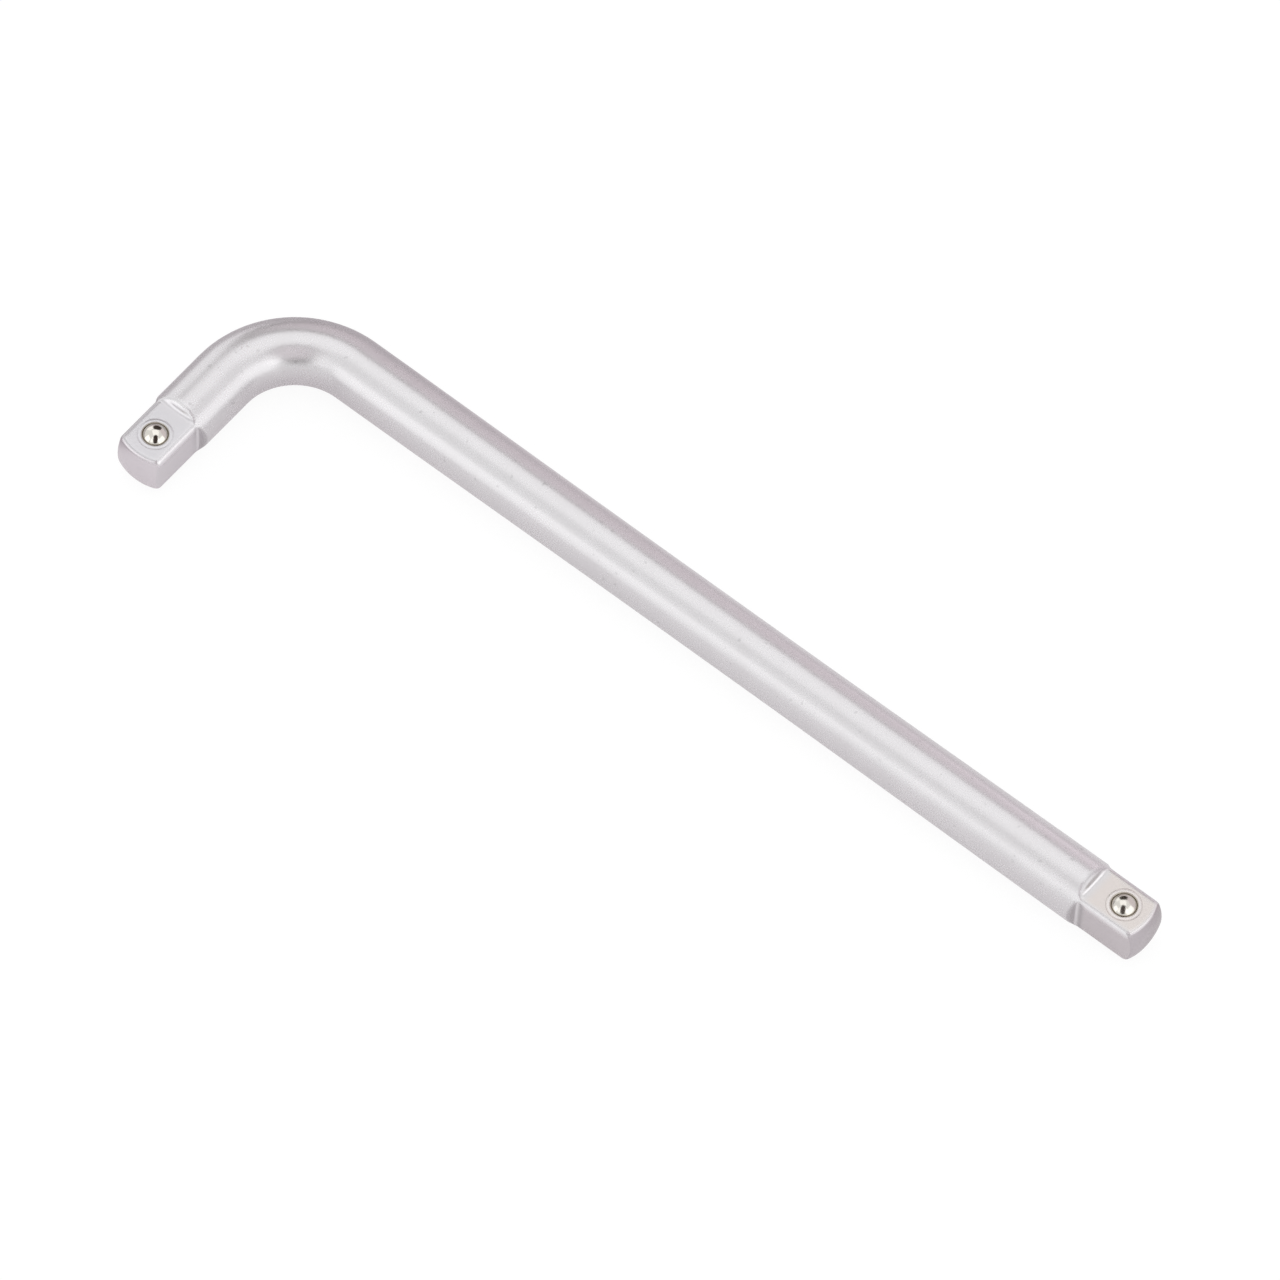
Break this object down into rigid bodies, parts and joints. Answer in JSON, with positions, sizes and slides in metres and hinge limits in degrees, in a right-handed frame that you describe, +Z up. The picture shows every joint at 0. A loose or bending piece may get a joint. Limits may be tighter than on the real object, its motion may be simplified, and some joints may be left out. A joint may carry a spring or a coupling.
{
  "type": "l-handle socket wrench",
  "caption": "Round steel bar bent at a right angle, with a male square drive and a spring-loaded detent ball on each arm, for turning sockets.",
  "frame": {"origin": "middle of the bounding box in plan, on the surface that the tool lies on", "axes": "+X along the long arm towards its tip, -Y along the short arm towards its tip, +Z up, the way both balls face"},
  "size_m": [0.28, 0.0654, 0.0169],
  "materials": {
    "satin_chrome": "fine satin, pearl sheen",
    "polished_ball": "mirror polished",
    "spring_wire": "drawn wire"
  },
  "bodies": {
    "handle": {"handle_bar": "satin_chrome", "short_end_spring": "spring_wire", "long_end_spring": "spring_wire"},
    "short_ball": {"short_end_ball": "polished_ball"},
    "long_ball": {"long_end_ball": "polished_ball"}
  },
  "joints": [
    {"name": "short_ball_press", "type": "slide", "parent": "handle", "child": "short_ball", "axis": [0, 0, -1], "range_m": [0, 0.0016], "stiffness_N_per_m": 6000, "deforming": ["short_end_spring"]},
    {"name": "long_ball_press", "type": "slide", "parent": "handle", "child": "long_ball", "axis": [0, 0, -1], "range_m": [0, 0.0016], "stiffness_N_per_m": 6000, "deforming": ["long_end_spring"]}
  ]
}
